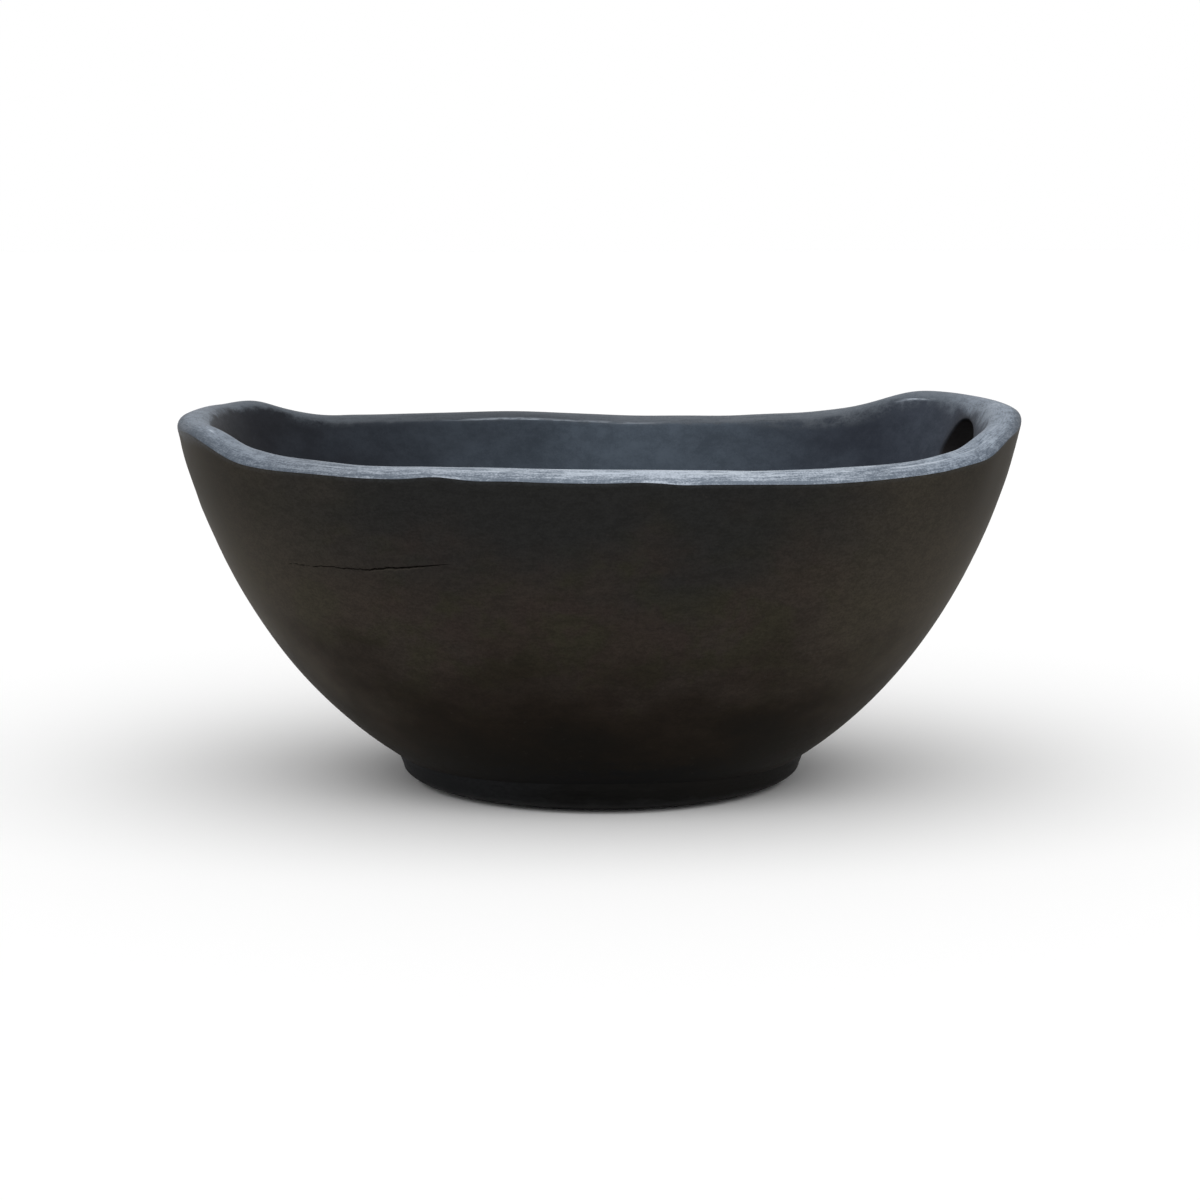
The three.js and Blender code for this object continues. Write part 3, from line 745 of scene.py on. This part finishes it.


# Rim and hollow: the rim's pale tone is painted light, tinted blue-grey as a painted sky reflection, with
# rubbed streaks and nicks of real wear; the hollow's dark blue-grey is painted sky reflection
def sky_lit_rim_and_hollow():
    s = Shader("sky_lit_rim_and_hollow")
    along = s.node("ShaderNodeAttribute", attribute_name="flow").outputs["Vector"]
    fine = s.noise((0.13, 0.13, 1.3), 6.0, 0.7, 0.0, along)
    broad = s.noise((0.04, 0.04, 0.45), 4.0, 0.6, 0.0, along)
    scratch = s.noise((0.032, 0.032, 1.5), 3.0, 0.5, 0.0, along)
    patch = s.noise((120.0, 120.0, 120.0), 4.0, 0.6, 0.5)
    mottle = s.noise((300.0, 300.0, 300.0), 4.0, 0.6)
    cloud = s.noise((14.0, 22.0, 26.0), 3.0, 0.5)
    soft = s.noise((70.0, 70.0, 110.0), 6.0, 0.7)
    # Painted light round the rim: pale along the front, mid-grey at the ends and in painted shade along the
    # back
    rim_light = s.mask("painted_light")
    from_edge = s.mask("across")
    speck = s.noise((1000.0, 1000.0, 1000.0), 2.0, 0.6)
    place = s.axes()
    at_end = s.range(s.math("ABSOLUTE", place["X"]), 0.13, 0.19, 0.0, 0.8)
    patchy = s.math("MULTIPLY", s.math("SUBTRACT", patch, broad), at_end)
    streaky = s.math("MULTIPLY", s.math("ADD", broad, patchy), 0.30)
    dusty = s.math("ADD", s.math("MULTIPLY", mottle, 0.12), s.math("MULTIPLY", speck, 0.24))
    rub = s.math("ADD", s.math("MULTIPLY", fine, 0.34), streaky)
    rub = s.math("ADD", rub, dusty)
    rub = s.math("MULTIPLY", s.math("SUBTRACT", rub, 0.5), s.range(rim_light, 0.1, 0.8, 0.6, 1.2))
    # Painted shade: the rim is painted darker towards its outer edge, where it rounds over
    rub = s.math("ADD", s.math("ADD", rub, 0.5), s.range(from_edge, 0.0, 9.0, -0.075, 0.014))
    from_middle = s.math("ABSOLUTE", s.math("SUBTRACT", place["X"], 0.02))
    inside = s.math("MULTIPLY", s.range(from_edge, 4.5, 8.5), s.range(from_middle, 0.02, 0.08, 0.0, 0.065))
    inside = s.math("MULTIPLY", inside, s.range(rim_light, 0.35, 0.6))
    inside = s.math("MULTIPLY", inside, s.math("SUBTRACT", 1.0, at_end))
    rub = s.math("SUBTRACT", rub, inside)
    bare = s.range(rub, 0.375, 0.575)
    pale = s.blend(bare, (0.145, 0.174, 0.215), (0.455, 0.508, 0.582))
    cold = s.blend(bare, (0.124, 0.158, 0.208), (0.385, 0.455, 0.548))
    pale = s.blend(at_end, pale, cold)
    dark = s.blend(bare, (0.0325, 0.0370, 0.0435), (0.0610, 0.0690, 0.0800))
    rim = s.blend(rim_light, dark, pale)
    crest = s.math("MULTIPLY", s.range(from_edge, 3.5, 6.5), s.range(from_edge, 16.0, 12.0))
    streak = s.math("MULTIPLY", s.range(scratch, 0.55, 0.64), s.range(rim_light, 0.4, 0.95, 0.0, 0.9))
    rim = s.blend(s.math("MULTIPLY", streak, crest), rim, (0.520, 0.575, 0.640))
    # Hollow: dark blue-grey as a painted sky reflection, painted lighter in the middle, towards the right
    # end and beside the right-hand slot as painted light, and darkest at the left end as painted shade
    middle = s.math("ADD", place["X"], s.math("MULTIPLY", s.math("SUBTRACT", cloud, 0.5), 0.12))
    lit = s.math("MULTIPLY", s.range(middle, -0.19, 0.04), s.range(middle, 0.19, 0.02))
    dust = s.math("MULTIPLY", s.math("ADD", mottle, speck), 0.19)
    spread = s.range(s.math("ADD", s.math("MULTIPLY", soft, 0.62), dust), 0.36, 0.64)
    hollow = s.blend(spread, (0.0092, 0.0103, 0.0142), (0.0146, 0.0162, 0.0216))
    right = s.blend(spread, (0.0200, 0.0240, 0.0345), (0.0300, 0.0355, 0.0490))
    hollow = s.blend(s.range(middle, 0.02, 0.13), hollow, right)
    by_slot = s.blend(spread, (0.032, 0.039, 0.054), (0.050, 0.059, 0.079))
    hollow = s.blend(s.range(place["X"], 0.152, 0.186), hollow, by_slot)
    hollow = s.blend(lit, hollow, s.blend(spread, (0.068, 0.087, 0.112), (0.097, 0.122, 0.155)))
    into = s.mask("in_hollow")
    between = s.math("MULTIPLY", into, s.math("SUBTRACT", 1.0, into))
    into = s.math("ADD", into, s.math("MULTIPLY", between, s.range(soft, 0.3, 0.7, -2.0, 2.0)), True)
    color = s.blend(into, rim, hollow)
    # Painted shade: the rim's outer edge at the two ends is painted dark, where the rounded edge turns away
    # from the light
    edge_shade = s.math("MULTIPLY", s.mask("outer_edge"), s.range(patch, 0.35, 0.6, 0.55, 0.95))
    color = s.blend(edge_shade, color, (0.050, 0.053, 0.058))
    gleam = s.math("MULTIPLY", s.mask("inner_edge"), s.range(fine, 0.35, 0.6), True)
    color = s.blend(gleam, color, (0.50, 0.56, 0.64))
    in_shade = s.blend(spread, (0.0070, 0.0064, 0.0065), (0.0126, 0.0116, 0.0119))
    color = s.blend(s.mask("in_slot"), color, in_shade)
    return s.surface(color, s.range(rub, 0.3, 0.7, 0.62, 0.5), s.bumped(fine, 0.06, 0.0003), 0.08)


# Foot: nearly black, greyer at the left, browner at the right and painted paler along its lower edge as
# painted light from the floor
def foot_wood():
    s = Shader("foot_wood")
    streaks = s.noise((60.0, 800.0, 800.0), 5.0, 0.6)
    cloud = s.noise((14.0, 30.0, 40.0), 3.0, 0.5)
    patch = s.noise((90.0, 120.0, 160.0), 4.0, 0.6)
    place = s.axes()
    astray = s.math("MULTIPLY", s.math("SUBTRACT", cloud, 0.5), 0.12)
    left = s.range(s.math("ADD", place["X"], astray), 0.0, -0.075)
    right = s.range(s.math("ADD", place["X"], astray), 0.02, 0.09, 0.0, 0.8)
    height = s.math("ADD", place["Z"], s.math("MULTIPLY", s.math("SUBTRACT", patch, 0.5), 0.014))
    # Painted light: the lower edge is painted paler, as if lit from the floor
    low = s.range(height, 0.009, 0.002, 0.0, 0.85)
    streaked = s.range(streaks, 0.35, 0.65)
    color = s.blend(streaked, (0.0024, 0.0023, 0.0021), (0.0042, 0.0040, 0.0036))
    color = s.blend(s.range(patch, 0.46, 0.64, 0.0, 0.5), color, (0.0058, 0.0056, 0.0053))
    color = s.blend(right, color, (0.0074, 0.0066, 0.0057))
    color = s.blend(low, color, s.blend(streaked, (0.0090, 0.0090, 0.0089), (0.0132, 0.0132, 0.0131)))
    bluish = s.blend(streaked, (0.0068, 0.0071, 0.0078), (0.0112, 0.0116, 0.0125))
    bluish = s.blend(low, bluish, s.blend(streaked, (0.0150, 0.0154, 0.0162), (0.0205, 0.0210, 0.0220)))
    color = s.blend(left, color, bluish)
    rough = s.range(streaks, 0.3, 0.7, 0.5, 0.62)
    return s.surface(color, rough, s.bumped(streaks, 0.10, 0.0003), 0.06)


# Dowels: bare wood, hidden inside the joint
def bare_wood():
    s = Shader("bare_wood")
    fibres = s.noise((700.0, 700.0, 40.0), 4.0, 0.55)
    color = s.blend(s.range(fibres, 0.35, 0.65), (0.36, 0.22, 0.09), (0.50, 0.33, 0.16))
    return s.surface(color, s.range(fibres, 0.3, 0.7, 0.55, 0.7), s.bumped(fibres, 0.2, 0.0003), 0.4)


bowl.data.materials.append(stained_wood())
bowl.data.materials.append(sky_lit_rim_and_hollow())
foot.data.materials.append(foot_wood())
bare = bare_wood()
for name in ("foot_dowel_1", "foot_dowel_2", "foot_dowel_3", "foot_dowel_4"):
    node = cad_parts[name]
    node.data.materials.clear()
    node.data.materials.append(bare)

# Pale floor
floor_mesh = bpy.data.meshes.new("floor")
floor_mesh.from_pydata([(-6, -6, 0), (6, -6, 0), (6, 6, 0), (-6, 6, 0)], [], [(0, 1, 2, 3)])
floor = bpy.data.objects.new("floor", floor_mesh)
bpy.context.scene.collection.objects.link(floor)
pale = Shader("pale_floor")
floor.data.materials.append(pale.surface((0.95, 0.95, 0.95, 1.0), 0.9, None, 0.2))

# Soft studio light: a broad even lamp from above and in front, a dimmer room and a white backdrop
lamp = bpy.data.lights.new("overhead", "SUN")
lamp.energy = 1.9
lamp.angle = math.radians(100)
lamp_object = bpy.data.objects.new("overhead", lamp)
lamp_object.rotation_euler = (math.radians(18), 0.0, 0.0)
bpy.context.scene.collection.objects.link(lamp_object)

world = bpy.data.worlds.new("studio")
bpy.context.scene.world = world
world.use_nodes = True
tree = world.node_tree
tree.nodes.clear()
path = tree.nodes.new("ShaderNodeLightPath")
seen = tree.nodes.new("ShaderNodeMath")
seen.operation = "MAXIMUM"
tree.links.new(path.outputs["Is Camera Ray"], seen.inputs[0])
tree.links.new(path.outputs["Is Glossy Ray"], seen.inputs[1])
level = tree.nodes.new("ShaderNodeMapRange")
level.inputs["To Min"].default_value = 0.5
level.inputs["To Max"].default_value = 1.0
tree.links.new(seen.outputs[0], level.inputs["Value"])
backdrop = tree.nodes.new("ShaderNodeBackground")
tree.links.new(level.outputs[0], backdrop.inputs["Strength"])
backdrop.inputs["Color"].default_value = (1, 1, 1, 1)
world_output = tree.nodes.new("ShaderNodeOutputWorld")
tree.links.new(backdrop.outputs[0], world_output.inputs["Surface"])

# Camera a little above the rim, in front of the bowl
yaw = math.radians(1.23)
rise = math.radians(8.88)
swing = Matrix.Rotation(-yaw, 4, "Z")
aim = Vector((1.138, 0.0, 94.178))
distance = 1710.0
target = swing @ aim * MM
eye = swing @ (aim + distance * Vector((0.0, -math.cos(rise), math.sin(rise)))) * MM
lens = bpy.data.cameras.new("camera")
lens.sensor_width = 36.0
lens.lens = 95.95
camera = bpy.data.objects.new("camera", lens)
camera.location = eye
camera.rotation_euler = (target - eye).to_track_quat("-Z", "Y").to_euler()
bpy.context.scene.collection.objects.link(camera)
bpy.context.scene.camera = camera
bpy.context.scene.view_settings.view_transform = "Standard"
